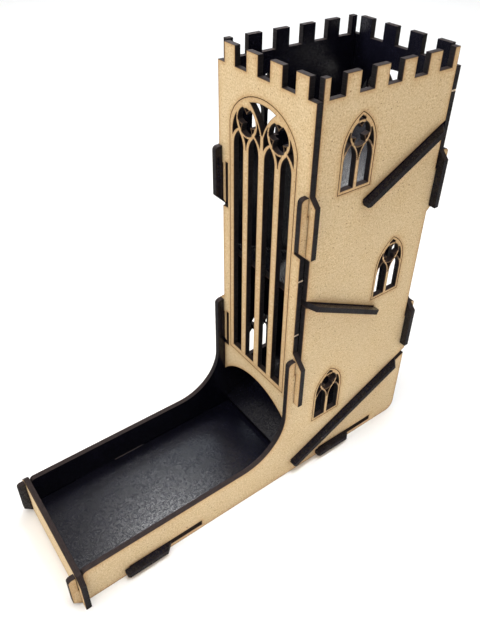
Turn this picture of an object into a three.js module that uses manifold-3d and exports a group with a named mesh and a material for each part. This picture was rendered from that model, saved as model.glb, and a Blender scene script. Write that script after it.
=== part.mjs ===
// Knock-down gothic dice tower: nine flat pieces cut from one thickness of fibreboard.
// The front, back and end walls drop onto the side walls with downward hooks.
// The three ramps and the tray floor pass through slots in the side walls.
// Millimetres, +Z up, +Y towards the back of the tower, the tray reaches towards -Y.
import * as THREE from 'three';
import { mergeVertices } from 'three/addons/utils/BufferGeometryUtils.js';
import Module from 'manifold-3d';

const wasm = await Module();
wasm.setup();

// ---------------------------------------------------------------- driving dimensions
const SHEET = 3;             // board thickness
const FIT = 0.2;             // air on each side of a sheet that stands in an upright slot
const RAMP_FIT = 0.3;        // air on each side of a sloping sheet in its slot
const OUTER_WIDTH = 68;      // over the outer faces of the side walls
const TOWER_DEPTH = 87.4;    // over the outer faces of the front and back walls
const TRAY_REACH = 131.2;    // from the front wall's face to the end wall's face
const WALL_TOP = 227.3;      // level of the gaps between the merlons
const MERLON_HEIGHT = 9;
const TRAY_HEIGHT = 24;
const HOOK_REACH = 4.2;      // how far every hook and tab stands proud of the wall it passes

const UPPER_HOOK_FOOT = 155.8;   // lower end of the upper pair of hooks
const LOWER_HOOK_FOOT = 60.7;    // lower end of the lower pair of hooks
const HOOK_STRAIGHT = 26.6;      // straight outer edge of a hook, below its chamfer
const HOOK_BITE = 21.2;          // height of the meeting line above the hook's foot
const TAB_RISE = 30.4;           // top of a side wall's tab above the hook's foot
const TAB_ROUND = 2.2;           // radius of a tab's free corner
const TAB_SHOULDER = 3.6;        // start of a tab's lower chamfer above the hook's foot
const LOWER_TAB_REACH = 4.6;     // the lower front tab runs down into the tray wall
const LOWER_REAR_REACH = 3.2;    // the lower rear tab runs down to the ground

const FINGER_INNER = 28.4;       // inner edge of the spring finger beside each hook slot
const FINGER_TIP_RISE = 1.1;     // the finger's tip slants up to its free edge by this much
const SLIT_INNER = 26.6;         // inner edge of the relief slit behind the finger
const SLIT_RISE = 22.7;          // top of the relief slit above the hook's foot
const SLIT_FOOT_DROP = 2;        // bottom of the relief slit below the hook's foot
const SHOULDER_DROP = 2.6;       // the shoulder below the finger, at the wall's edge

const TRAY_FILLET = 28;          // radius where a tray wall sweeps up into the tower
const TRAY_TAB_TOP = 23.6;
const TRAY_BITE = 13;
const TRAY_TOE_CHAMFER = 4.6;    // at the tray wall's lower front corner
const REAR_FOOT_ROUND = 6;

const ARCH_CROWN = 51.3;         // top of the mouth
const ARCH_SPRING = 36.1;        // points of the horns beside the mouth

const FLOOR_BOTTOM = 3;          // underside of the tray floor
const FLOOR_REAR = 84;
const FLOOR_TAB_LENGTH = 24.3;
const FLOOR_SLOT_LENGTH = 43.6;  // the tabs enter behind their place and slide forwards
const FLOOR_TAB_FRONTS = [-104.5, 24.5];
const FLOOR_TAB_HOOK = 3;        // overhang of a floor tab in front of its root
const TAB_CORNER = 1;            // chamfer at the front corner of a lying board's tab

const RAMP_TAB_HOOK = 1.2;       // overhang of a ramp tab below its root
const RAMP_SLOT_RUN_OUT = 12;    // the slots run past the ramp's head and through the wall's edge
const RAMPS = [
  { name: 'upper_ramp', slope: 28.1, footY: 33.1, footZ: 174.3, rises: 'back' },
  { name: 'middle_ramp', slope: 26.9, footY: 55.1, footZ: 102.3, rises: 'front' },
  { name: 'lower_ramp', slope: 25.7, footY: 1.3, footZ: 10.1, rises: 'back' },
];

const FRONT_MERLON = 8.1;
const FRONT_PITCH = 16.45;
const SIDE_MERLON = 8.05;
const SIDE_PITCH = 16.4;
const SIDE_HALF_MERLON = 3.5;

const BIG_WINDOW = {
  sill: 63.5, halfWidth: 22.4, crownHeight: 18.4, crownSpring: 197.6,
  lancetCentres: [-17.65, -5.95, 5.95, 17.65], lancetHalf: 3.7, lancetSpring: 191, lancetRise: 7.5,
  hoodGrowth: 2.1, hoodRise: 9.2,
  roseX: 11.6, roseZ: 204.7, roseRadius: 6.8, ringWidth: 1.2,
  ribX: 24.4, ribZ: 194, ribRadius: 25.5, ribWidth: 1.2,
  headSill: 208, mullionHalf: 1.2, mullionTop: 202.3,
};
const SMALL_WINDOW = {
  halfWidth: 8.7, sillInset: 1.6, archSpring: 20, archRadius: 17.3,
  lancetOffset: 4.85, lancetHalf: 3.75, lancetSpring: 15, lancetRise: 7.6,
  hoodGrowth: 1, hoodRise: 8.7,
  roseRise: 26.9, roseRadius: 5.5, ringWidth: 0.8,
  shoulderRadius: 9, shoulderAngles: [14, 73],
};
const SMALL_WINDOW_PLACES = [[26.7, 182], [61, 108.4], [26.1, 35.3]];
const CUSP_ANGLES = [90, 210, 330];   // points of the trefoil inside every rose
const CUSP_REACH = 0.5;               // share of the rose's radius that a cusp takes up
const CUSP_HALF_ANGLE = 26;
const CUSP_ROOT = 1.04;               // its root lies just outside the rose's circle
const CUSP_WAIST = 0.74;              // where its sides bend inwards
const CUSP_WAIST_HALF_ANGLE = 12;
const PIERCING_SHARE = 0.55;          // size of the triangle pierced in a cusp
const PIERCING_DEPTH = 0.42;          // its centre, as a share of the cusp's reach

const ARC_SAG = 0.02;                 // how far a facet may fall short of its arc

const BOARD = { color: 0xcdaf83, roughness: 0.8, metalness: 0 };
const DARK = { color: 0x26262b, roughness: 0.45, metalness: 0 };

// ---------------------------------------------------------------- derived places
const OUTER = OUTER_WIDTH / 2;
const INNER = OUTER - SHEET;
const HOOK_EDGE = OUTER + HOOK_REACH;
const DRAW_DEPTH = SHEET + 2;              // cutters run 1 mm past both faces
const LENGTH_CENTRE = (TOWER_DEPTH - TRAY_REACH) / 2;
const FLOOR_TOP = FLOOR_BOTTOM + SHEET;
const radians = THREE.MathUtils.degToRad;

// ---------------------------------------------------------------- drawing helpers
function polygon(points) {
  return new THREE.Shape(points.map(([x, y]) => new THREE.Vector2(x, y)));
}

function rectangle(x0, y0, x1, y1) {
  return polygon([[x0, y0], [x1, y0], [x1, y1], [x0, y1]]);
}

// Points on a circular arc, both ends included, angles in degrees. A flattening below 1
// makes it an arc of an ellipse with that share of the height.
function arc(cx, cy, radius, from, to, flattening = 1) {
  const facet = THREE.MathUtils.radToDeg(2 * Math.acos(1 - ARC_SAG / radius));
  const steps = Math.ceil(Math.abs(to - from) / facet);
  return Array.from({ length: steps + 1 }, (_, i) => {
    const angle = radians(from + ((to - from) * i) / steps);
    return [cx + radius * Math.cos(angle), cy + radius * flattening * Math.sin(angle)];
  });
}

function disc(cx, cy, radius) {
  return polygon(arc(cx, cy, radius, 0, 360).slice(1));
}

// A pointed arch on a rectangle: two arcs of one radius that leave the jambs upright.
function lancet(cx, bottom, half, spring, radius) {
  const reach = radius - half;
  const apexAngle = THREE.MathUtils.radToDeg(Math.acos(reach / radius));
  const right = arc(cx - reach, spring, radius, 0, apexAngle);
  const left = arc(cx + reach, spring, radius, 180 - apexAngle, 180).slice(1);
  return polygon([[cx - half, bottom], [cx + half, bottom], ...right, ...left]);
}

// Radius of the arcs that carry a lancet of this half width up to this rise.
function archRadius(half, rise) {
  return (half * half + rise * rise) / (2 * half);
}

function toSolid(geometry) {
  geometry.deleteAttribute('normal');
  geometry.deleteAttribute('uv');
  const merged = mergeVertices(geometry, 1e-4);
  return new wasm.Manifold(new wasm.Mesh({
    numProp: 3,
    vertProperties: Float32Array.from(merged.attributes.position.array),
    triVerts: Uint32Array.from(merged.index.array),
  }));
}

// A sheet of the board's thickness, and a cutter that passes right through one.
function sheet(shape) {
  return toSolid(new THREE.ExtrudeGeometry(shape, { depth: SHEET, bevelEnabled: false }));
}

function cutter(shape) {
  const geometry = new THREE.ExtrudeGeometry(shape, { depth: DRAW_DEPTH, bevelEnabled: false });
  geometry.translate(0, 0, (SHEET - DRAW_DEPTH) / 2);
  return toSolid(geometry);
}

function joined(solids) {
  return solids.reduce((sum, solid) => sum.add(solid));
}

function piece(name, solid, look) {
  const { vertProperties, triVerts } = solid.getMesh();
  const geometry = new THREE.BufferGeometry();
  geometry.setAttribute('position', new THREE.BufferAttribute(vertProperties, 3));
  geometry.setIndex(new THREE.BufferAttribute(triVerts, 1));
  geometry.computeVertexNormals();
  const mesh = new THREE.Mesh(geometry, new THREE.MeshStandardMaterial(look));
  mesh.name = name;
  return mesh;
}

// ---------------------------------------------------------------- window tracery
// A round opening with three pointed cusps, each pierced by a small triangle.
function rose(cx, cz, radius) {
  const at = (share, angle) => [
    cx + radius * share * Math.cos(radians(angle)),
    cz + radius * share * Math.sin(radians(angle)),
  ];
  const cusp = (angle, scale) => {
    const corners = [
      at(CUSP_ROOT, angle - CUSP_HALF_ANGLE),
      at(CUSP_WAIST, angle - CUSP_WAIST_HALF_ANGLE),
      at(1 - CUSP_REACH, angle),
      at(CUSP_WAIST, angle + CUSP_WAIST_HALF_ANGLE),
      at(CUSP_ROOT, angle + CUSP_HALF_ANGLE),
      at(CUSP_ROOT, angle),
    ];
    const centre = at(1 - CUSP_REACH * PIERCING_DEPTH, angle);
    return cutter(polygon(corners.map(([x, z]) => [
      centre[0] + (x - centre[0]) * scale,
      centre[1] + (z - centre[1]) * scale,
    ])));
  };
  const cusps = joined(CUSP_ANGLES.map((angle) => cusp(angle, 1)));
  const piercings = joined(CUSP_ANGLES.map((angle) => cusp(angle, PIERCING_SHARE)));
  return cutter(disc(cx, cz, radius)).subtract(cusps).add(piercings);
}

// Four lancets under two roses, inside a round-shouldered crown. A curved rib springs from
// the middle mullion over each rose, and the board is whole between the rose and the crown.
function bigWindow() {
  const w = BIG_WINDOW;
  const crown = arc(0, w.crownSpring, w.halfWidth, 0, 180, w.crownHeight / w.halfWidth);
  const field = polygon([[-w.halfWidth, w.lancetSpring], [w.halfWidth, w.lancetSpring], ...crown]);
  const hoodHalf = w.lancetHalf + w.hoodGrowth;
  const hoodRadius = archRadius(hoodHalf, w.hoodRise);
  const hoods = w.lancetCentres.map((x) => (
    cutter(lancet(x, w.sill, hoodHalf, w.lancetSpring, hoodRadius))));
  const lancetRadius = archRadius(w.lancetHalf, w.lancetRise);
  const lancets = w.lancetCentres.map((x) => (
    cutter(lancet(x, w.sill, w.lancetHalf, w.lancetSpring, lancetRadius))));
  const sides = [-1, 1];
  const rings = sides.map((s) => cutter(disc(s * w.roseX, w.roseZ, w.roseRadius + w.ringWidth)));
  const headAngle = THREE.MathUtils.radToDeg(Math.asin((w.headSill - w.ribZ) / w.ribRadius));
  const ribs = sides.map((s) => {
    const outer = cutter(disc(s * w.ribX, w.ribZ, w.ribRadius));
    const inner = cutter(disc(s * w.ribX, w.ribZ, w.ribRadius - w.ribWidth));
    const head = arc(s * w.ribX, w.ribZ, w.ribRadius, headAngle, 180 - headAngle);
    return outer.subtract(inner).add(cutter(polygon(head)));
  });
  const mullion = cutter(rectangle(-w.mullionHalf, w.lancetSpring, w.mullionHalf, w.mullionTop));
  const roses = sides.map((s) => rose(s * w.roseX, w.roseZ, w.roseRadius));
  return cutter(field)
    .subtract(joined([...hoods, ...rings, ...ribs, mullion]))
    .add(joined([...lancets, ...roses]));
}

// Two lancets under one rose, inside a pointed arch. The board is whole on the rose's
// shoulders, which leaves a small piercing at the apex.
function smallWindow(centreY, bottom) {
  const w = SMALL_WINDOW;
  const sill = bottom + w.sillInset;
  const archSpring = bottom + w.archSpring;
  const lancetSpring = bottom + w.lancetSpring;
  const frame = cutter(lancet(centreY, lancetSpring, w.halfWidth, archSpring, w.archRadius));
  const hoodHalf = w.lancetHalf + w.hoodGrowth;
  const centres = [-1, 1].map((s) => centreY + s * w.lancetOffset);
  const hoods = centres.map((y) => (
    cutter(lancet(y, sill, hoodHalf, lancetSpring, archRadius(hoodHalf, w.hoodRise)))));
  const lancets = centres.map((y) => (
    cutter(lancet(y, sill, w.lancetHalf, lancetSpring, archRadius(w.lancetHalf, w.lancetRise)))));
  const roseZ = bottom + w.roseRise;
  const ring = cutter(disc(centreY, roseZ, w.roseRadius + w.ringWidth));
  const [low, high] = w.shoulderAngles;
  const shoulders = [[low, high], [180 - high, 180 - low]].map(([from, to]) => (
    cutter(polygon([[centreY, roseZ], ...arc(centreY, roseZ, w.shoulderRadius, from, to)]))));
  return frame
    .subtract(joined([...hoods, ring, ...shoulders]))
    .add(joined([...lancets, rose(centreY, roseZ, w.roseRadius)]));
}

// ---------------------------------------------------------------- front and back walls
// Right-hand edge of one hook joint, from the shoulder below the hook up to its chamfer.
function hookEdge(foot, edgeBelow, chamferTo) {
  const top = foot + HOOK_STRAIGHT;
  return [
    [edgeBelow, foot - SHOULDER_DROP],
    [SLIT_INNER, foot - SLIT_FOOT_DROP],
    [SLIT_INNER, foot + SLIT_RISE],
    [FINGER_INNER, foot + SLIT_RISE],
    [FINGER_INNER, foot],
    [INNER - FIT, foot + FINGER_TIP_RISE],
    [INNER - FIT, foot + HOOK_BITE + FIT],
    [OUTER + FIT, foot + HOOK_BITE + FIT],
    [OUTER + FIT, foot],
    [HOOK_EDGE, foot],
    [HOOK_EDGE, top],
    [chamferTo, top + HOOK_EDGE - chamferTo],
  ];
}

function crossWallOutline() {
  const halfSpan = INNER - FIT;
  const rise = ARCH_CROWN - ARCH_SPRING;
  const radius = archRadius(rise, halfSpan);
  const springAngle = THREE.MathUtils.radToDeg(Math.acos(halfSpan / radius));
  const mouth = arc(0, ARCH_CROWN - radius, radius, 180 - springAngle, springAngle);
  const merlons = [1.5, 0.5].flatMap((k) => {
    const outer = k * FRONT_PITCH + FRONT_MERLON / 2;
    const inner = k * FRONT_PITCH - FRONT_MERLON / 2;
    const crest = WALL_TOP + MERLON_HEIGHT;
    return [[outer, WALL_TOP], [outer, crest], [inner, crest], [inner, WALL_TOP]];
  });
  const rightEdge = [
    ...hookEdge(LOWER_HOOK_FOOT, halfSpan, INNER),
    ...hookEdge(UPPER_HOOK_FOOT, INNER, OUTER),
    [OUTER, WALL_TOP],
    ...merlons,
  ];
  const leftEdge = rightEdge.map(([x, z]) => [-x, z]).reverse();
  return polygon([...mouth, ...rightEdge, ...leftEdge]);
}

function crossWall(name, outerFaceY, facing) {
  const wall = piece(name, sheet(crossWallOutline()).subtract(bigWindow()), BOARD);
  wall.rotation.x = Math.PI / 2;
  wall.position.y = facing === 'front' ? outerFaceY + SHEET : outerFaceY;
  return wall;
}

// ---------------------------------------------------------------- side walls
// Front edge of the side wall at an upright joint, read upwards: tab, slot, wall edge.
function tabEdge(foot, reach, startsFromChamfer) {
  const top = foot + TAB_RISE;
  const chamfer = [
    [SHEET + FIT, foot + TAB_SHOULDER - reach - SHEET],
    [-reach, foot + TAB_SHOULDER],
  ];
  return [
    ...(startsFromChamfer ? chamfer : []),
    ...arc(TAB_ROUND - reach, top - TAB_ROUND, TAB_ROUND, 180, 90),
    [-FIT, top],
    [-FIT, foot + HOOK_BITE],
    [SHEET + FIT, foot + HOOK_BITE],
  ];
}

// The tower's back edge is the front edge's mirror image.
function towardsBack(points) {
  return points.map(([y, z]) => [TOWER_DEPTH - y, z]).reverse();
}

function sideWallOutline() {
  const endWallFace = -TRAY_REACH;
  const toe = endWallFace - HOOK_REACH;
  const trayFront = [
    ...arc(toe + TAB_ROUND, TRAY_TAB_TOP - TAB_ROUND, TAB_ROUND, 180, 90),
    [endWallFace - FIT, TRAY_TAB_TOP],
    [endWallFace - FIT, TRAY_BITE],
    [endWallFace + SHEET + FIT, TRAY_BITE],
    ...arc(endWallFace + SHEET + FIT + TAB_ROUND, TRAY_HEIGHT - TAB_ROUND, TAB_ROUND, 180, 90),
  ];
  const sweep = arc(-LOWER_TAB_REACH - TRAY_FILLET, TRAY_HEIGHT + TRAY_FILLET, TRAY_FILLET, -90, 0);
  const crest = WALL_TOP + MERLON_HEIGHT;
  const middle = TOWER_DEPTH / 2;
  const merlons = [-1.5, -0.5, 0.5, 1.5].flatMap((k) => {
    const start = middle + k * SIDE_PITCH - SIDE_MERLON / 2;
    const end = start + SIDE_MERLON;
    return [[start, WALL_TOP], [start, crest], [end, crest], [end, WALL_TOP]];
  });
  const frontCorner = [
    [SHEET + FIT, crest],
    [SHEET + SIDE_HALF_MERLON, crest],
    [SHEET + SIDE_HALF_MERLON, WALL_TOP],
  ];
  const rearFoot = arc(
    TOWER_DEPTH + LOWER_REAR_REACH - REAR_FOOT_ROUND, REAR_FOOT_ROUND, REAR_FOOT_ROUND, 0, -90);
  return polygon([
    [toe + TRAY_TOE_CHAMFER, 0],
    [toe, TRAY_TOE_CHAMFER],
    ...trayFront,
    ...sweep,
    ...tabEdge(LOWER_HOOK_FOOT, LOWER_TAB_REACH, false),
    ...tabEdge(UPPER_HOOK_FOOT, HOOK_REACH, true),
    ...frontCorner,
    ...merlons,
    ...towardsBack(frontCorner),
    ...towardsBack(tabEdge(UPPER_HOOK_FOOT, HOOK_REACH, true)),
    ...towardsBack(tabEdge(LOWER_HOOK_FOOT, LOWER_REAR_REACH, false)),
    ...rearFoot,
  ].reverse());
}

// Where a ramp passes the side wall: open at the wall's edge, past the ramp's upper end.
function rampSlot(ramp) {
  const along = ramp.rises === 'back' ? 1 : -1;
  const cos = Math.cos(radians(ramp.slope));
  const sin = Math.sin(radians(ramp.slope));
  const at = (distance, depth) => [
    ramp.footY + along * (distance * cos + depth * sin),
    ramp.footZ + distance * sin - depth * cos,
  ];
  const start = RAMP_TAB_HOOK - RAMP_FIT;
  const end = rampLength(ramp) + RAMP_SLOT_RUN_OUT;
  const corners = [
    at(start, -RAMP_FIT), at(end, -RAMP_FIT),
    at(end, SHEET + RAMP_FIT), at(start, SHEET + RAMP_FIT),
  ];
  return cutter(polygon(along > 0 ? corners : corners.reverse()));
}

function floorSlot(front) {
  return cutter(rectangle(front - FIT, FLOOR_BOTTOM - FIT, front + FLOOR_SLOT_LENGTH, FLOOR_TOP + FIT));
}

function sideWall(name, innerFaceX) {
  const openings = joined([
    ...RAMPS.map(rampSlot),
    ...FLOOR_TAB_FRONTS.map(floorSlot),
    ...SMALL_WINDOW_PLACES.map(([y, z]) => smallWindow(y, z)),
  ]);
  const wall = piece(name, sheet(sideWallOutline()).subtract(openings), BOARD);
  wall.rotation.set(Math.PI / 2, Math.PI / 2, 0);
  wall.position.x = innerFaceX;
  return wall;
}

// ---------------------------------------------------------------- ramps, floor, end wall
// A ramp reaches from its foot to the wall behind its head, less a small gap.
function rampLength(ramp) {
  const run = ramp.rises === 'back'
    ? TOWER_DEPTH - SHEET - ramp.footY
    : ramp.footY - SHEET;
  const headSetback = RAMP_FIT + SHEET * Math.sin(radians(ramp.slope));
  return (run - headSetback) / Math.cos(radians(ramp.slope));
}

// Right-hand tab outline of a lying sheet: hooked front end, chamfered rear end.
function lyingTab(front, rear, hook) {
  const root = OUTER + RAMP_FIT;
  return [
    [INNER - RAMP_FIT, front],
    [root, front],
    [root, front - hook],
    [HOOK_EDGE - TAB_CORNER, front - hook],
    [HOOK_EDGE, front - hook + TAB_CORNER],
    [HOOK_EDGE, rear - HOOK_REACH],
    [HOOK_EDGE - HOOK_REACH, rear],
    [INNER - RAMP_FIT, rear],
  ];
}

function mirroredSheet(front, rear, rightEdge) {
  const half = INNER - RAMP_FIT;
  const right = [[half, front], ...rightEdge, [half, rear]];
  const left = right.map(([x, y]) => [-x, y]).reverse();
  return polygon([...right, ...left]);
}

function makeRamp(ramp) {
  const length = rampLength(ramp);
  const outline = mirroredSheet(0, length, lyingTab(RAMP_TAB_HOOK, length, RAMP_TAB_HOOK).slice(0, -1));
  const board = piece(ramp.name, sheet(outline), DARK);
  board.geometry.translate(0, 0, -SHEET);
  board.rotation.x = radians(ramp.slope);
  const holder = new THREE.Group();
  holder.rotation.z = ramp.rises === 'back' ? 0 : Math.PI;
  holder.position.set(0, ramp.footY, ramp.footZ);
  holder.add(board);
  return holder;
}

function trayFloor() {
  const tabs = FLOOR_TAB_FRONTS.flatMap((front) => (
    lyingTab(front, front + FLOOR_TAB_LENGTH, FLOOR_TAB_HOOK)));
  const front = SHEET + RAMP_FIT - TRAY_REACH;
  const floor = piece('tray_floor', sheet(mirroredSheet(front, FLOOR_REAR, tabs)), DARK);
  floor.position.z = FLOOR_BOTTOM;
  return floor;
}

function trayEndWall() {
  const chamferFoot = TRAY_HEIGHT - HOOK_REACH;
  const rightEdge = [
    [INNER - FIT, 0],
    [INNER - FIT, TRAY_BITE + FIT],
    [OUTER + FIT, TRAY_BITE + FIT],
    [OUTER + FIT, 0],
    [HOOK_EDGE, 0],
    [HOOK_EDGE, chamferFoot],
    [OUTER, TRAY_HEIGHT],
  ];
  const leftEdge = rightEdge.map(([x, z]) => [-x, z]).reverse();
  const wall = piece('tray_end_wall', sheet(polygon([...rightEdge, ...leftEdge])), BOARD);
  wall.rotation.x = Math.PI / 2;
  wall.position.y = SHEET - TRAY_REACH;
  return wall;
}

// ---------------------------------------------------------------- assembly
const group = new THREE.Group();
group.add(
  crossWall('front_panel', 0, 'front'),
  crossWall('back_panel', TOWER_DEPTH, 'back'),
  sideWall('right_side_panel', INNER),
  sideWall('left_side_panel', -OUTER),
  ...RAMPS.map(makeRamp),
  trayFloor(),
  trayEndWall(),
);
group.position.y = -LENGTH_CENTRE;

export default group;
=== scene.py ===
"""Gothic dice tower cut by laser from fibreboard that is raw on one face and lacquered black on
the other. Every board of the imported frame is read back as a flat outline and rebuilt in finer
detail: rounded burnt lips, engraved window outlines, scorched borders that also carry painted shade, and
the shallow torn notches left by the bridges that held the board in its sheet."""

import math

import bmesh
import bpy
import numpy as np
from mathutils import Matrix, Vector
from mathutils.geometry import delaunay_2d_cdt


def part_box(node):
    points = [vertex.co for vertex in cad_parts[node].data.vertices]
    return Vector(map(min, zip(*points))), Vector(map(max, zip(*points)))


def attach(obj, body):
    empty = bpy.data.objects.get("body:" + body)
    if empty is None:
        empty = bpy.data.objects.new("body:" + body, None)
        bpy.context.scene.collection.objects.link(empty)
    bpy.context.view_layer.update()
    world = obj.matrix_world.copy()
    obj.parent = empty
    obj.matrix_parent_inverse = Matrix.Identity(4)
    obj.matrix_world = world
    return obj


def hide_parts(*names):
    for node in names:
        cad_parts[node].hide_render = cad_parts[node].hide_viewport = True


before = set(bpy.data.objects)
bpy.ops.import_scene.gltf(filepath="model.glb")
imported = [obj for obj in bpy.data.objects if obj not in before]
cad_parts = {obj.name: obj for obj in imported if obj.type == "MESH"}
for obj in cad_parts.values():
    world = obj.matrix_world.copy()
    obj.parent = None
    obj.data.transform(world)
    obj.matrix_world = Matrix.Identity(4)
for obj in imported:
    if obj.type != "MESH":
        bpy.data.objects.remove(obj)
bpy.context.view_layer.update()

MM = 0.001

# ---- board, millimetres
LIP = 0.10               # rounding of every cut edge
WELD = 0.002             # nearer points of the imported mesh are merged
SHORTEST_EDGE = 0.02     # nearer points of an outline are taken as one
STRAIGHT = math.radians(0.4)       # a smaller turn is taken as straight
SHARP_EDGE = math.radians(32)      # a larger turn between faces is shaded sharp
TOWARDS_RAW = 0.5        # a normal this far towards the raw side belongs to a raw-side face
IN_RAW_FACE = 0.999      # and this far to the flat raw face itself
MITRE_LIMIT = 0.35       # keeps the mitre of a hairpin corner finite
TRIANGLE_TOLERANCE = 1e-6
LEVEL_RISE = 1e-12       # stands in for the rise of a level run, which no ray crosses
POINTS_AT_ONCE = 400     # keeps the distance tables small

# ---- points that carry the scorch and the painted shade along the cuts across the raw face, millimetres
GRAIN_STEP = 2.6         # spacing of the loose grid
GRID_SHAKE = 0.3         # how far its points stray, as a share of the step
GRID_CLEARANCE = 0.6     # its least distance from a cut, as a share of the step
CUT_STEP = 0.9           # spacing along a cut or a groove
SCORCH_AND_SHADE_RINGS = (0.4, 1.0)          # distances from the cut
RING_CLEARANCE = 0.9     # share of its distance that a ring's point must keep in a corner
# beyond FAR_FROM_CUT neither scorch nor painted edge shade is left
FAR_FROM_CUT = 8.0       # beyond this no scorch is left

# ---- engraved grooves and torn notches, millimetres
GROOVE_HALF_WIDTH = 0.2
GROOVE_DEPTH = 0.18
GROOVE_RINGS = (-0.6, 0.6)         # points beside an engraved line
GROOVE_SHARE = 0.98      # a face whose centre is within this share of the half width is engraved
BRIDGE_HALF_WIDTH = 0.3  # half the notch's flat bottom
BRIDGE_RUN = 0.15        # slope at each end of the notch
BRIDGE_DEPTH = 0.14

# ---- engraved window outlines, millimetres
TALL_OUTLINE = {"half": 24.5, "sill": 60.3, "spring": 198.7, "crown_half": 24.8, "crown_rise": 19.8}
SMALL_OUTLINE = {"half": 10.1, "spring": 20.0, "radius": 18.7}
SMALL_WINDOWS = ((48.6, 182.0), (82.9, 108.4), (48.0, 35.3))   # centre along Y, foot along Z
TALL_CROWN_ANGLES = (8, 172)
TALL_ARC_STEPS = 40
SMALL_ARC_STEPS = 12

# ---- places of the snapped-off bridges, millimetres along X and Z
BRIDGES = {
    "front_panel": ((31.0, 140.0), (31.0, 106.3), (-30.8, 48.0)),
    "back_panel": ((34.0, 216.0),),
}

# ---- camera, solved from the straight edges of the photographed tower
CAMERA_PLACE = (0.205788, -0.139790, 0.313468)
CAMERA_AZIMUTH = 51.927
CAMERA_DROP = 36.396
CAMERA_ROLL = 1.590
CAMERA_LENS = 36.0
CAMERA_SENSOR = 36.0
CAMERA_SHIFT = (-0.02705, -0.0449)
CAMERA_RANGE = (0.01, 20.0)

# ---- studio, metres
STAGE = {"flat": 1.7, "sweep": 0.6, "wall": 0.5, "flat_rings": 4, "sweep_rings": 8, "around": 64}
TOWER_MIDDLE = (0.0, 0.05, 0.10)
AIR_COLOUR = (0.44, 0.395, 0.345, 1)
AIR_STRENGTH = 1.0
SOFTBOXES = (
    {"name": "ceiling", "place": (0.0, -0.05, 1.5), "size": 1.6, "radiance": 1.95},
    {"name": "key", "place": (-0.140, 0.029, 0.348), "size": 0.072, "radiance": 29.0},
    {"name": "rear", "place": (-1.0, 0.80, 1.0), "size": 1.0, "radiance": 2.4, "tint": (0.74, 0.87, 1.0)},
    {"name": "front", "place": (-0.4, -1.3, 0.5), "size": 0.9, "radiance": 2.9, "tint": (0.98, 1.0, 1.0)},
    {"name": "bounce", "place": (0.22, 0.0, 0.7), "size": 0.2, "radiance": 4.4,
     "tint": (0.88, 0.94, 1.0), "target": (0.22, 0.0, 0.0), "spread": 30},
)

# ---- colours, linear
GRAIN_DARK, GRAIN_PALE = (0.45, 0.31, 0.16, 1), (0.74, 0.585, 0.355, 1)
FLOCK = (0.50, 0.345, 0.17, 1)
CLOUD = (0.66, 0.545, 0.36, 1)
SPECK = (0.17, 0.085, 0.035, 1)
# brown of laser smoke, also used as painted shade along the cuts
SMOKE_AND_EDGE_SHADE = (0.38, 0.19, 0.055, 1)
BURNT_RIM = (0.06, 0.032, 0.018, 1)
LACQUER_DARK, LACQUER_PALE = (0.0034, 0.0034, 0.0076, 1), (0.0052, 0.0052, 0.0112, 1)
DUST = (0.06, 0.06, 0.065, 1)
CHAR_DARK, CHAR_PALE = (0.006, 0.005, 0.006, 1), (0.016, 0.013, 0.014, 1)
BROWNED = (0.070, 0.033, 0.014, 1)
# lighter char for cut faces that look up: ash and painted top light
ASH_AND_TOP_LIGHT = (0.034, 0.023, 0.021, 1)
LINE_DARK, LINE_PALE = (0.020, 0.010, 0.005, 1), (0.08, 0.042, 0.018, 1)
FIBRE_DARK, FIBRE_PALE = (0.34, 0.24, 0.14, 1), (0.66, 0.55, 0.42, 1)
STAGE_DARK, STAGE_PALE = (0.94, 0.94, 0.94, 1), (0.96, 0.96, 0.96, 1)

# ---- layers of the raw face
SPECKS = (               # cells per mm, radius in cells, share of cells with one, strength
    (0.75, 0.28, 0.5, 0.5),
    (0.30, 0.14, 0.55, 0.85),
)
# the first, broad layer is laser smoke and painted shade along the cuts; the second, narrow one is smoke
SMOKE_AND_EDGE_SHADE_LAYERS = (         # wobble in mm, its scale per mm, full within, gone beyond, strength
    (4.5, 0.12, -2.0, 2.6, 0.18),
    (2.2, 0.35, -0.9, 0.6, 0.42),
)

RAW, BLACK, CUT, ENGRAVED, FIBRE = range(5)   # material slots of every board


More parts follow.
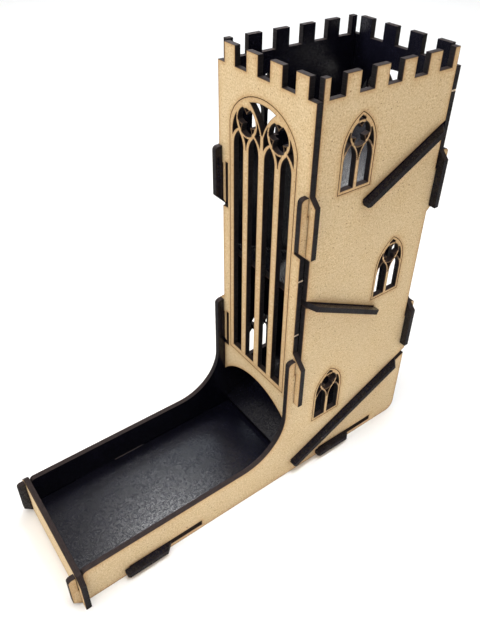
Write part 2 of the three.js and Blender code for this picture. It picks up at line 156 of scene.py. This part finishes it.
# ================================================================ reading a board
class Board:
    """A flat board seen from its raw side: right, up and out span it, outlines are in mm."""

    def __init__(self, node, raw_side):
        shape = bmesh.new()
        shape.from_mesh(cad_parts[node].data)
        bmesh.ops.remove_doubles(shape, verts=shape.verts, dist=WELD * MM)
        raw_faces = [f for f in shape.faces if f.normal.dot(raw_side) > TOWARDS_RAW]
        self.name = node
        self.out = max(raw_faces, key=lambda f: f.calc_area()).normal.copy()
        upright = Vector((0, 0, 1)) if abs(self.out.z) < 0.5 else Vector((0, 1, 0))
        self.up = (upright - self.out * upright.dot(self.out)).normalized()
        self.right = self.up.cross(self.out)
        depths = [v.co.dot(self.out) for v in shape.verts]
        self.raw_level = max(depths) / MM
        self.thickness = self.raw_level - min(depths) / MM
        self.outlines = [clean_outline(loop) for loop in self.boundary_loops(shape)]
        self.bridges = [self.flat(Vector((x, 0, z)) * MM) for x, z in BRIDGES.get(node, ())]
        for bridge in self.bridges:
            add_notch(self.outlines, bridge)
        shape.free()

    def flat(self, point):
        return Vector((point.dot(self.right), point.dot(self.up))) / MM

    def solid(self, flat_point, depth):
        """The world point under flat_point, depth mm below the raw face."""
        x, y = flat_point
        return (self.right * x + self.up * y + self.out * (self.raw_level - depth)) * MM

    def boundary_loops(self, shape):
        """Outlines of the raw face, each with the board on its left."""
        raw = [f for f in shape.faces if f.normal.dot(self.out) > IN_RAW_FACE]
        raw_set = set(raw)       # only asked, never walked: its order changes from run to run
        following = {}
        for face in raw:
            for corner in face.loops:
                if corner.link_loop_radial_next.face not in raw_set:
                    following[corner.vert] = corner.link_loop_next.vert
        while following:
            start = next(iter(following))
            loop = [start]
            step = following.pop(start)
            while step is not start:
                loop.append(step)
                step = following.pop(step)
            yield [self.flat(v.co) for v in loop]


def clean_outline(loop):
    """The same outline without doubled points and without points along a straight run."""
    spaced = []
    for point in loop:
        if not spaced or (point - spaced[-1]).length > SHORTEST_EDGE:
            spaced.append(point)
    if (spaced[0] - spaced[-1]).length <= SHORTEST_EDGE:
        spaced.pop()
    kept = []
    for i, point in enumerate(spaced):
        before = point - spaced[i - 1]
        after = spaced[(i + 1) % len(spaced)] - point
        if abs(before.angle_signed(after)) > STRAIGHT:
            kept.append(point)
    return kept


# ================================================================ flat geometry
def inward(direction):
    """The board lies on the left of its outline."""
    return Vector((-direction.y, direction.x)).normalized()


def shrunk(loop, distance):
    """The outline moved into the board, corners mitred."""
    moved = []
    for i, point in enumerate(loop):
        before = inward(point - loop[i - 1])
        after = inward(loop[(i + 1) % len(loop)] - point)
        mitre = (before + after) / max(MITRE_LIMIT, 1 + before.dot(after))
        moved.append(point + mitre * distance)
    return moved


def add_notch(loops, bridge):
    """Cuts the shallow notch of a snapped-off bridge into the outlines' nearest run."""
    def gap(place):
        loop, i = place
        run = loop[i] - loop[i - 1]
        share = min(1, max(0, (bridge - loop[i - 1]).dot(run) / run.length_squared))
        return (loop[i - 1] + run * share - bridge).length

    loop, i = min(((loop, i) for loop in loops for i in range(len(loop))), key=gap)
    ahead = (loop[i] - loop[i - 1]).normalized()
    middle = loop[i - 1] + ahead * (bridge - loop[i - 1]).dot(ahead)
    foot = BRIDGE_HALF_WIDTH + BRIDGE_RUN
    profile = (
        (-foot, 0), (-BRIDGE_HALF_WIDTH, BRIDGE_DEPTH),
        (BRIDGE_HALF_WIDTH, BRIDGE_DEPTH), (foot, 0))
    loop[i:i] = [middle + ahead * along + inward(ahead) * depth for along, depth in profile]


def segments(loops):
    """Starts and ends of every run of the outlines."""
    starts = np.array([p for loop in loops for p in loop], float)
    ends = np.array([loop[(i + 1) % len(loop)] for loop in loops for i in range(len(loop))], float)
    return starts, ends


def distance_to(points, loops):
    """Distance of every point to the nearest of the outlines."""
    starts, ends = segments(loops)
    run = ends - starts
    length_squared = (run ** 2).sum(1)
    nearest = []
    for i in range(0, len(points), POINTS_AT_ONCE):
        offset = points[i:i + POINTS_AT_ONCE, None, :] - starts[None]
        share = np.clip((offset * run).sum(2) / length_squared, 0, 1)
        nearest.append(np.linalg.norm(offset - share[..., None] * run, axis=2).min(1))
    return np.concatenate(nearest)


def inside(points, loops):
    """True for the points on the board, and false in its holes and outside it."""
    starts, ends = segments(loops)
    rise = np.where(ends[:, 1] == starts[:, 1], LEVEL_RISE, ends[:, 1] - starts[:, 1])
    found = []
    for i in range(0, len(points), POINTS_AT_ONCE):
        some = points[i:i + POINTS_AT_ONCE]
        x, y = some[:, :1], some[:, 1:]
        spans = (starts[:, 1] > y) != (ends[:, 1] > y)
        crossing = starts[:, 0] + (y - starts[:, 1]) * (ends[:, 0] - starts[:, 0]) / rise
        found.append((spans & (x < crossing)).sum(1) % 2 == 1)
    return np.concatenate(found)


def points_beside(loops, offsets):
    """Points all along the outlines, moved into the board by each of the offsets."""
    found = []
    for loop in loops:
        for i, start in enumerate(loop):
            run = loop[(i + 1) % len(loop)] - start
            count = max(1, round(run.length / CUT_STEP))
            for k in range(count):
                foot = start + run * ((k + 0.5) / count)
                found += [foot + inward(run) * offset for offset in offsets]
    return np.array(found, float).reshape(-1, 2)


def loose_grid(low, high, seed):
    """A square grid whose points stray a little, over the box from low to high."""
    columns, rows = np.meshgrid(np.arange(low[0], high[0], GRAIN_STEP),
                                np.arange(low[1], high[1], GRAIN_STEP))
    grid = np.column_stack([columns.ravel(), rows.ravel()])
    shake = np.random.default_rng(seed).uniform(-GRID_SHAKE, GRID_SHAKE, grid.shape)
    return grid + shake * GRAIN_STEP


def scorch_and_shade_points(outlines, grooves, seed):
    """Points that carry the scorch and the painted shade along the cuts: rings along every cut and
    groove, and a grid over the rest.
    """
    rings = points_beside(outlines, SCORCH_AND_SHADE_RINGS)
    ring_gaps = np.tile(SCORCH_AND_SHADE_RINGS, len(rings) // len(SCORCH_AND_SHADE_RINGS)) * RING_CLEARANCE
    beside_grooves = points_beside(grooves, GROOVE_RINGS)
    grid = loose_grid(rings.min(0), rings.max(0), seed)
    candidates = np.vstack([rings, beside_grooves, grid])
    needed = np.concatenate([
        ring_gaps,
        np.full(len(beside_grooves), SCORCH_AND_SHADE_RINGS[0] * RING_CLEARANCE),
        np.full(len(grid), GRAIN_STEP * GRID_CLEARANCE)])
    keep = inside(candidates, outlines) & (distance_to(candidates, outlines) > needed)
    if grooves:
        keep &= distance_to(candidates, grooves) > max(GROOVE_RINGS) * RING_CLEARANCE
    return candidates[keep]


def triangulated(loops, loose):
    """Triangles over everything that the loops and loose points span, with each input's place."""
    points = [Vector(p) for loop in loops for p in loop] + [Vector(p) for p in loose]
    edges = []
    first = 0
    for loop in loops:
        edges += [(first + i, first + (i + 1) % len(loop)) for i in range(len(loop))]
        first += len(loop)
    found, _, triangles, sources, _, _ = delaunay_2d_cdt(points, edges, [], 0, TRIANGLE_TOLERANCE)
    place = {source: i for i, group in enumerate(sources) for source in group}
    return found, triangles, [place[i] for i in range(len(points))]


def triangle_centres(flat, triangles):
    return np.array([sum((flat[c] for c in t), Vector((0, 0))) / 3 for t in triangles], float)


# ================================================================ building a board
class Shell:
    """Points and faces of one board under construction."""

    def __init__(self, board):
        self.board = board
        self.points = []
        self.from_cut = []
        self.faces = []

    def add_points(self, flat_points, depths, from_cut):
        first = len(self.points)
        self.points += [self.board.solid(p, d) for p, d in zip(flat_points, depths)]
        self.from_cut += list(from_cut)
        return list(range(first, len(self.points)))

    def add_face(self, corners, material, places):
        self.faces.append((corners, material, places))

    def make_object(self, materials):
        mesh = bpy.data.meshes.new(self.board.name)
        mesh.from_pydata(self.points, [], [corners for corners, _, _ in self.faces])
        layer = mesh.uv_layers.new(name="board_mm")
        places = [place for _, _, face_places in self.faces for place in face_places]
        layer.data.foreach_set("uv", np.array(places, np.float32).ravel())
        scorch = mesh.attributes.new("from_cut", "FLOAT", "POINT")
        scorch.data.foreach_set("value", np.array(self.from_cut, np.float32))
        mesh.polygons.foreach_set("material_index", [m for _, m, _ in self.faces])
        mesh.polygons.foreach_set("use_smooth", [True] * len(self.faces))
        for material in materials:
            mesh.materials.append(material)
        mesh.update()
        mesh.set_sharp_from_angle(angle=SHARP_EDGE)
        made = bpy.data.objects.new(self.board.name + "_board", mesh)
        bpy.context.scene.collection.objects.link(made)
        return made


def add_edge_strips(shell, loop):
    """The burnt wall under one outline, with its rounded lips. Returns the rim's outline and
    the points of its raw and its black side."""
    board = shell.board
    lip_loop = shrunk(loop, LIP)
    rows = ((lip_loop, 0.0), (loop, LIP), (loop, board.thickness - LIP), (lip_loop, board.thickness))
    rings = [shell.add_points(flat, [depth] * len(flat), [0.0] * len(flat)) for flat, depth in rows]
    along = 0.0
    torn_reach = BRIDGE_HALF_WIDTH + BRIDGE_RUN
    for i, point in enumerate(loop):
        j = (i + 1) % len(loop)
        ahead = along + (loop[j] - point).length
        middle = (point + loop[j]) / 2
        is_torn = any((middle - bridge).length < torn_reach for bridge in board.bridges)
        for (upper, (_, top)), (lower, (_, bottom)) in zip(
                zip(rings, rows), zip(rings[1:], rows[1:])):
            shell.add_face(
                (upper[i], lower[i], lower[j], upper[j]), FIBRE if is_torn else CUT,
                ((along, top), (along, bottom), (ahead, bottom), (ahead, top)))
        along = ahead
    return lip_loop, rings[0], rings[-1]


def add_black_face(shell, rims, rim_points):
    """The lacquered face: plain triangles between the rims."""
    flat, triangles, place = triangulated(rims, [])
    known = {place[i]: point for i, point in enumerate(p for rim in rim_points for p in rim)}
    centres = triangle_centres(flat, triangles)
    for triangle, solid in zip(triangles, inside(centres, rims)):
        if solid:
            turned = triangle[::-1]
            shell.add_face([known[c] for c in turned], BLACK, [tuple(flat[c]) for c in turned])


def add_raw_face(shell, rims, rim_points, grooves, seed):
    """The raw face, with enough points to carry the scorch and the painted edge shade, and with its
    engraved grooves.
    """
    bank_sides = (-GROOVE_HALF_WIDTH, GROOVE_HALF_WIDTH)
    banks = [shrunk(groove, side) for groove in grooves for side in bank_sides]
    loose = scorch_and_shade_points(rims, grooves, seed)
    flat, triangles, place = triangulated([*rims, *banks, *grooves], loose)
    rim_count = sum(len(rim) for rim in rims)
    bed = {place[i] for i in range(rim_count + sum(len(b) for b in banks), len(place) - len(loose))}
    known = {place[i]: point for i, point in enumerate(p for rim in rim_points for p in rim)}
    fresh = [i for i in range(len(flat)) if i not in known]
    distances = distance_to(np.array([flat[i] for i in fresh], float), [*rims, *grooves])
    added = shell.add_points(
        [flat[i] for i in fresh],
        [GROOVE_DEPTH if i in bed else 0.0 for i in fresh],
        np.minimum(distances, FAR_FROM_CUT))
    known.update(zip(fresh, added))
    centres = triangle_centres(flat, triangles)
    solid = inside(centres, rims)
    engraved = np.zeros(len(triangles), bool)
    if grooves:
        engraved = distance_to(centres, grooves) < GROOVE_HALF_WIDTH * GROOVE_SHARE
    for triangle, is_solid, is_engraved in zip(triangles, solid, engraved):
        if is_solid:
            material = ENGRAVED if is_engraved else RAW
            shell.add_face([known[c] for c in triangle], material, [tuple(flat[c]) for c in triangle])


def make_board(node, body, raw_side, materials, grooves=(), seed=0):
    """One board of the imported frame, rebuilt as a detailed piece that rides on its body."""
    board = Board(node, Vector(raw_side))
    shell = Shell(board)
    edges = [add_edge_strips(shell, loop) for loop in board.outlines]
    rims = [rim for rim, _, _ in edges]
    flat_grooves = [[board.flat(p) for p in groove] for groove in grooves]
    add_raw_face(shell, rims, [top for _, top, _ in edges], flat_grooves, seed)
    add_black_face(shell, rims, [bottom for _, _, bottom in edges])
    made = shell.make_object(materials)
    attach(made, body)
    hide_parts(node)


# ================================================================ engraved outlines
def arc(centre, radii, start, end, steps):
    """Points of an elliptical arc, angles in degrees."""
    for i in range(steps + 1):
        angle = math.radians(start + (end - start) * i / steps)
        yield centre[0] + radii[0] * math.cos(angle), centre[1] + radii[1] * math.sin(angle)


def tall_outline(y):
    """The line around the tall window, on a wall across the tower at y metres."""
    w = TALL_OUTLINE
    crown = arc((0, w["spring"]), (w["crown_half"], w["crown_rise"]), *TALL_CROWN_ANGLES, TALL_ARC_STEPS)
    flat = [(-w["half"], w["sill"]), (w["half"], w["sill"]), *crown]
    return [Vector((x * MM, y, z * MM)) for x, z in flat]


def small_outline(x, centre, foot):
    """The line around a small window, on a side wall at x metres."""
    w = SMALL_OUTLINE
    reach = w["radius"] - w["half"]
    apex = math.degrees(math.acos(reach / w["radius"]))
    spring = foot + w["spring"]
    radii = (w["radius"], w["radius"])
    rear = arc((centre - reach, spring), radii, 0, apex, SMALL_ARC_STEPS)
    front = list(arc((centre + reach, spring), radii, 180 - apex, 180, SMALL_ARC_STEPS))[1:]
    flat = [(centre - w["half"], foot), (centre + w["half"], foot), *rear, *front]
    return [Vector((x, y * MM, z * MM)) for y, z in flat]


# ================================================================ materials
class Nodes:
    """Short calls for building a node tree."""

    def __init__(self, name):
        self.material = bpy.data.materials.new(name)
        self.material.use_nodes = True
        self.tree = self.material.node_tree
        self.shader = self.tree.nodes["Principled BSDF"]

    def add(self, kind, inputs=None, **settings):
        node = self.tree.nodes.new(kind)
        for key, value in settings.items():
            setattr(node, key, value)
        for key, value in (inputs or {}).items():
            self.put(node.inputs[key], value)
        return node

    def put(self, socket, value):
        if isinstance(value, bpy.types.NodeSocket):
            self.tree.links.new(value, socket)
        else:
            socket.default_value = value

    def math(self, operation, a, b):
        return self.add("ShaderNodeMath", {0: a, 1: b}, operation=operation).outputs[0]

    def place(self, scale=(1, 1, 1), shift=(0, 0, 0)):
        """Millimetres along the board: across the face, or along the cut and down it."""
        source = self.add("ShaderNodeUVMap", uv_map="board_mm").outputs["UV"]
        inputs = {"Vector": source, "Scale": scale, "Location": shift}
        return self.add("ShaderNodeMapping", inputs).outputs[0]

    def noise(self, where, scale, detail=3.0, roughness=0.6):
        inputs = {"Vector": where, "Scale": scale, "Detail": detail, "Roughness": roughness}
        return self.add("ShaderNodeTexNoise", inputs).outputs["Fac"]

    def cells(self, where, scale):
        return self.add("ShaderNodeTexVoronoi", {"Vector": where, "Scale": scale})

    def ramp(self, value, low, high, to_low=0.0, to_high=1.0):
        """Smooth step from to_low at low to to_high at high."""
        inputs = {"Value": value, "From Min": low, "From Max": high, "To Min": to_low, "To Max": to_high}
        return self.add("ShaderNodeMapRange", inputs, interpolation_type="SMOOTHSTEP").outputs[0]

    def mix(self, share, a, b):
        node = self.add("ShaderNodeMix", data_type="RGBA")
        self.put(node.inputs[0], share)
        self.put(node.inputs[6], a)
        self.put(node.inputs[7], b)
        return node.outputs[2]

    def bump(self, height, strength, depth):
        """Relief of this height field, depth in millimetres."""
        inputs = {"Height": height, "Strength": strength, "Distance": depth * MM}
        self.put(self.shader.inputs["Normal"], self.add("ShaderNodeBump", inputs).outputs[0])

    def from_cut(self):
        return self.add("ShaderNodeAttribute", attribute_name="from_cut").outputs["Fac"]

    def set(self, **values):
        for key, value in values.items():
            self.put(self.shader.inputs[key.replace("_", " ")], value)


def raw_material():
    """Pale pressed fibre with brown specks, scorched where the laser passed, and browned along the cuts
    by smoke and by painted shade.
    """
    n = Nodes("raw_fibreboard")
    flat = n.place()
    grain = n.noise(flat, scale=1.1, detail=5.0, roughness=0.75)
    colour = n.mix(n.ramp(grain, low=0.33, high=0.67), GRAIN_DARK, GRAIN_PALE)
    flock = n.noise(flat, scale=0.3, detail=2.0)
    colour = n.mix(n.ramp(flock, low=0.35, high=0.65, to_high=0.22), colour, FLOCK)
    cloud = n.noise(flat, scale=0.05)
    colour = n.mix(n.ramp(cloud, low=0.3, high=0.7, to_high=0.20), colour, CLOUD)
    for scale, radius, share, strength in SPECKS:
        cells = n.cells(flat, scale)
        chosen = n.math("GREATER_THAN", cells.outputs["Color"], 1 - share)
        near = n.ramp(cells.outputs["Distance"], low=radius, high=radius * 0.4, to_high=strength)
        colour = n.mix(n.math("MULTIPLY", chosen, near), colour, SPECK)
    # brown bands along the cuts: smoke, and in the broad layer painted shade as well
    for reach, scale, full, gone, strength in SMOKE_AND_EDGE_SHADE_LAYERS:
        wobble = n.math("MULTIPLY", n.noise(flat, scale, detail=4.0), reach)
        distance = n.math("SUBTRACT", n.from_cut(), wobble)
        colour = n.mix(n.ramp(distance, low=gone, high=full, to_high=strength), colour, SMOKE_AND_EDGE_SHADE)
    line = n.ramp(n.from_cut(), low=0.30, high=0.0, to_high=0.85)
    colour = n.mix(line, colour, BURNT_RIM)
    roughness = n.ramp(grain, low=0.3, high=0.7, to_low=0.86, to_high=0.72)
    n.set(Base_Color=colour, Roughness=roughness, Specular_IOR_Level=0.25)
    n.bump(grain, strength=0.5, depth=0.04)
    return n.material


def black_material():
    """Thin black lacquer over pressed fibre: orange peel, dust and a glinting sheen."""
    n = Nodes("black_lacquer")
    flat = n.place()
    peel = n.noise(flat, scale=3.2, detail=1.0)
    glint = n.cells(flat, scale=2.1).outputs["Color"]
    cloud = n.noise(flat, scale=0.08)
    colour = n.mix(n.ramp(cloud, low=0.3, high=0.7), LACQUER_DARK, LACQUER_PALE)
    cells = n.cells(flat, scale=0.5)
    chosen = n.math("GREATER_THAN", cells.outputs["Color"], 0.8)
    near = n.ramp(cells.outputs["Distance"], low=0.09, high=0.04, to_high=0.4)
    colour = n.mix(n.math("MULTIPLY", chosen, near), colour, DUST)
    roughness = n.ramp(glint, low=0.3, high=0.9, to_low=0.27, to_high=0.16)
    specular = n.ramp(glint, low=0.3, high=0.95, to_low=0.16, to_high=0.52)
    n.set(Base_Color=colour, Roughness=roughness, Specular_IOR_Level=specular)
    n.bump(peel, strength=1.0, depth=0.04)
    return n.material


def cut_material():
    """Charred laser cut: streaks down the thickness, browner by the raw face, lighter where it looks up:
    ash and painted top light.
    """
    n = Nodes("charred_cut")
    streaks = n.noise(n.place(scale=(2.4, 0.25, 1)), scale=1.0, detail=4.0, roughness=0.7)
    layers = n.noise(n.place(scale=(0.25, 2.2, 1), shift=(7, 3, 0)), scale=1.0)
    colour = n.mix(n.ramp(streaks, low=0.3, high=0.75), CHAR_DARK, CHAR_PALE)
    depth = n.add("ShaderNodeSeparateXYZ", {0: n.place()}).outputs["Y"]
    colour = n.mix(n.ramp(depth, low=0.6, high=0.0, to_high=0.5), colour, BROWNED)
    # cut faces that look up are painted lighter by their normal: ash and painted top light
    normal = n.add("ShaderNodeNewGeometry").outputs["Normal"]
    upward = n.add("ShaderNodeSeparateXYZ", {0: normal}).outputs["Z"]
    faces_up_ash_and_light = n.ramp(upward, low=0.35, high=0.9)
    patchy = n.ramp(layers, low=0.35, high=0.65, to_low=0.3)
    colour = n.mix(n.math("MULTIPLY", faces_up_ash_and_light, patchy), colour, ASH_AND_TOP_LIGHT)
    roughness = n.ramp(streaks, low=0.3, high=0.7, to_low=0.8, to_high=0.6)
    n.set(Base_Color=colour, Roughness=roughness, Specular_IOR_Level=0.12)
    n.bump(streaks, strength=0.7, depth=0.08)
    return n.material


def engraved_material():
    """Shallow burnt line."""
    n = Nodes("burnt_line")
    burn = n.noise(n.place(), scale=1.2)
    colour = n.mix(n.ramp(burn, low=0.3, high=0.7), LINE_DARK, LINE_PALE)
    n.set(Base_Color=colour, Roughness=0.9, Specular_IOR_Level=0.1)
    return n.material


def fibre_material():
    """Torn pale fibre where a bridge was snapped."""
    n = Nodes("torn_fibre")
    torn = n.noise(n.place(), scale=3.0)
    colour = n.mix(n.ramp(torn, low=0.3, high=0.7), FIBRE_DARK, FIBRE_PALE)
    n.set(Base_Color=colour, Roughness=0.9)
    return n.material


def stage_material():
    """Matt white of the floor and backdrop."""
    n = Nodes("studio_white")
    tone = n.noise(n.add("ShaderNodeTexCoord").outputs["Object"], scale=2.0)
    colour = n.mix(n.ramp(tone, low=0.3, high=0.7), STAGE_DARK, STAGE_PALE)
    n.set(Base_Color=colour, Roughness=0.9)
    return n.material


# ================================================================ the nine boards
def make_walls(materials):
    """The standing boards, whose raw face looks outwards."""
    front_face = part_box("front_panel")[0].y
    back_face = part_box("back_panel")[1].y
    across = (
        ("front_panel", "front", (0, -1, 0), front_face),
        ("back_panel", "back", (0, 1, 0), back_face))
    for seed, (node, body, raw_side, face) in enumerate(across):
        make_board(node, body, raw_side, materials, [tall_outline(face)], seed)
    for seed, (node, side) in enumerate((("right_side_panel", 1), ("left_side_panel", -1)), 2):
        face = side * max(abs(corner.x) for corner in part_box(node))
        outlines = [small_outline(face, centre, foot)[::side] for centre, foot in SMALL_WINDOWS]
        make_board(node, "frame", (side, 0, 0), materials, outlines, seed)
    make_board("tray_end_wall", "end_wall", (0, -1, 0), materials, seed=4)


def make_lying_boards(materials):
    """The ramps and the tray's floor, whose raw face looks down."""
    for seed, node in enumerate(("upper_ramp", "middle_ramp", "lower_ramp", "tray_floor"), 5):
        make_board(node, "frame", (0, 0, -1), materials, seed=seed)


# ================================================================ studio
def add_stage():
    """A round white floor whose rim sweeps up into the backdrop."""
    s = STAGE
    profile = [(s["flat"] * k / s["flat_rings"], 0.0) for k in range(1, s["flat_rings"] + 1)]
    for k in range(1, s["sweep_rings"] + 1):
        angle = math.radians(90 * k / s["sweep_rings"])
        profile.append((s["flat"] + s["sweep"] * math.sin(angle), s["sweep"] * (1 - math.cos(angle))))
    profile.append((s["flat"] + s["sweep"], s["sweep"] + s["wall"]))
    around = s["around"]
    points = [(0.0, 0.0, 0.0)]
    for radius, height in profile:
        for i in range(around):
            angle = math.tau * i / around
            points.append((radius * math.cos(angle), radius * math.sin(angle), height))
    faces = [(0, 1 + i, 1 + (i + 1) % around) for i in range(around)]
    for ring in range(len(profile) - 1):
        for i in range(around):
            j = (i + 1) % around
            low, high = 1 + ring * around, 1 + (ring + 1) * around
            faces.append((low + i, high + i, high + j, low + j))
    mesh = bpy.data.meshes.new("studio_floor")
    mesh.from_pydata(points, [], faces)
    mesh.polygons.foreach_set("use_smooth", [True] * len(faces))
    mesh.materials.append(stage_material())
    floor = bpy.data.objects.new("studio_floor", mesh)
    bpy.context.scene.collection.objects.link(floor)


def add_softbox(name, place, size, radiance, tint=(1, 1, 1), target=TOWER_MIDDLE, spread=180):
    """A square light at this place, turned to its target and left out of the camera's view."""
    light = bpy.data.lights.new(name, "AREA")
    light.shape = "SQUARE"
    light.size = size
    light.color = tint
    light.spread = math.radians(spread)
    light.energy = radiance * math.pi * size * size
    box = bpy.data.objects.new(name, light)
    box.location = place
    box.visible_camera = False
    away = (Vector(place) - Vector(target)).normalized()
    box.rotation_euler = away.to_track_quat("Z", "Y").to_euler()
    bpy.context.scene.collection.objects.link(box)


def add_lights():
    world = bpy.data.worlds.new("studio_air")
    bpy.context.scene.world = world
    world.use_nodes = True
    background = world.node_tree.nodes["Background"]
    background.inputs["Color"].default_value = AIR_COLOUR
    background.inputs["Strength"].default_value = AIR_STRENGTH
    for softbox in SOFTBOXES:
        add_softbox(**softbox)
    bpy.context.scene.view_settings.view_transform = "Standard"


def add_camera():
    azimuth = math.radians(CAMERA_AZIMUTH)
    drop = math.radians(CAMERA_DROP)
    roll = math.radians(CAMERA_ROLL)
    back = Vector((
        math.sin(azimuth) * math.cos(drop),
        -math.cos(azimuth) * math.cos(drop),
        math.sin(drop)))
    right = Vector((0, 0, 1)).cross(back).normalized()
    up = back.cross(right)
    turned_right = right * math.cos(roll) + up * math.sin(roll)
    turned_up = up * math.cos(roll) - right * math.sin(roll)
    camera = bpy.data.cameras.new("camera")
    camera.sensor_width = CAMERA_SENSOR
    camera.lens = CAMERA_LENS
    camera.shift_x, camera.shift_y = CAMERA_SHIFT
    camera.clip_start, camera.clip_end = CAMERA_RANGE
    holder = bpy.data.objects.new("camera", camera)
    place = Matrix((turned_right, turned_up, back)).transposed().to_4x4()
    place.translation = Vector(CAMERA_PLACE)
    holder.matrix_world = place
    bpy.context.scene.collection.objects.link(holder)
    bpy.context.scene.camera = holder


board_materials = [
    raw_material(), black_material(), cut_material(), engraved_material(), fibre_material(),
]
make_walls(board_materials)
make_lying_boards(board_materials)
add_stage()
add_lights()
add_camera()
